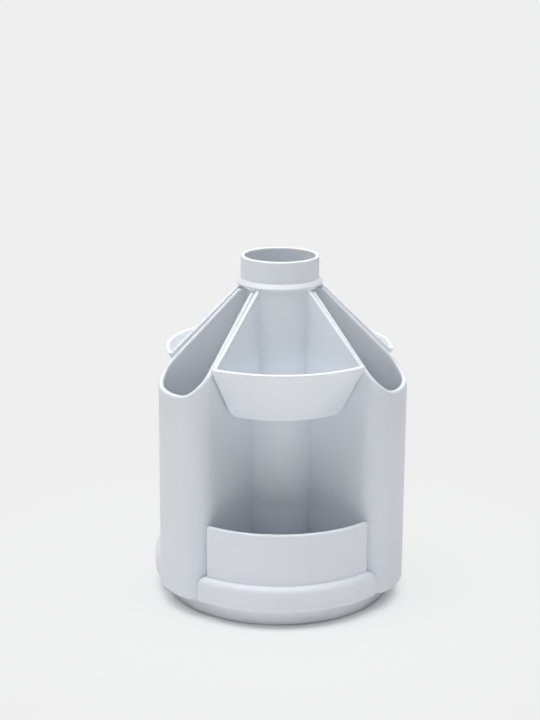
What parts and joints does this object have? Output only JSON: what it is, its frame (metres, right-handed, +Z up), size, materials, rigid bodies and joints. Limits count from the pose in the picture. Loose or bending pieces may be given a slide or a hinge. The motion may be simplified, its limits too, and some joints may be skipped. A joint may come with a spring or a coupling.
{
  "type": "rotating desk organizer with drawers",
  "caption": "Free-standing round desk organizer that spins on a low base, with tall pockets round a pencil tube, pull-out drawers and a lift-off caddy of scoop trays.",
  "frame": {"origin": "middle of the footprint, on the spin axis, at table height", "axes": "+Z up along the spin axis, -Y out of the front niche and drawer, +X to the right seen from the front"},
  "size_m": [0.1034, 0.1052, 0.1414],
  "materials": {
    "body_plastic": "satin, pale blue-white moulded ABS",
    "base_plastic": "satin, pale grey moulded ABS",
    "pad_rubber": "matt moulded rubber",
    "glide_plastic": "waxy acetal",
    "zinc_steel": "bright zinc plate"
  },
  "bodies": {
    "base": {"base_plate": "base_plastic", "spindle": "glide_plastic", "non_slip_pad_1": "pad_rubber", "non_slip_pad_2": "pad_rubber", "non_slip_pad_3": "pad_rubber", "non_slip_pad_4": "pad_rubber", "glide_ring": "glide_plastic", "retaining_washer": "zinc_steel", "retaining_screw": "zinc_steel"},
    "organizer": {"turntable_floor": "base_plastic", "floor_screws": "zinc_steel", "column_tube": "body_plastic", "screw_cover": "body_plastic", "pocket_right": "body_plastic", "pocket_rear": "body_plastic", "pocket_left": "body_plastic"},
    "drawer_front": {"drawer_front": "body_plastic"},
    "drawer_rear_right": {"drawer_rear_right": "body_plastic"},
    "drawer_rear_left": {"drawer_rear_left": "body_plastic"},
    "caddy": {"caddy_collar": "body_plastic", "scoop_tray_front": "body_plastic", "scoop_tray_rear_right": "body_plastic", "scoop_tray_rear_left": "body_plastic"}
  },
  "joints": [
    {"name": "body_spin", "type": "hinge", "parent": "base", "child": "organizer", "pos_m": [0, 0, 0.00765], "axis": [0, 0, 1], "continuous": true},
    {"name": "drawer_front_slide", "type": "slide", "parent": "organizer", "child": "drawer_front", "axis": [0, -1, 0], "range_m": [0, 0.02]},
    {"name": "drawer_rear_right_slide", "type": "slide", "parent": "organizer", "child": "drawer_rear_right", "axis": [0.866, 0.5, 0], "range_m": [0, 0.02]},
    {"name": "drawer_rear_left_slide", "type": "slide", "parent": "organizer", "child": "drawer_rear_left", "axis": [-0.866, 0.5, 0], "range_m": [0, 0.02]},
    {"name": "caddy_lift", "type": "slide", "parent": "organizer", "child": "caddy", "axis": [0, 0, 1], "range_m": [0, 0.06]}
  ]
}
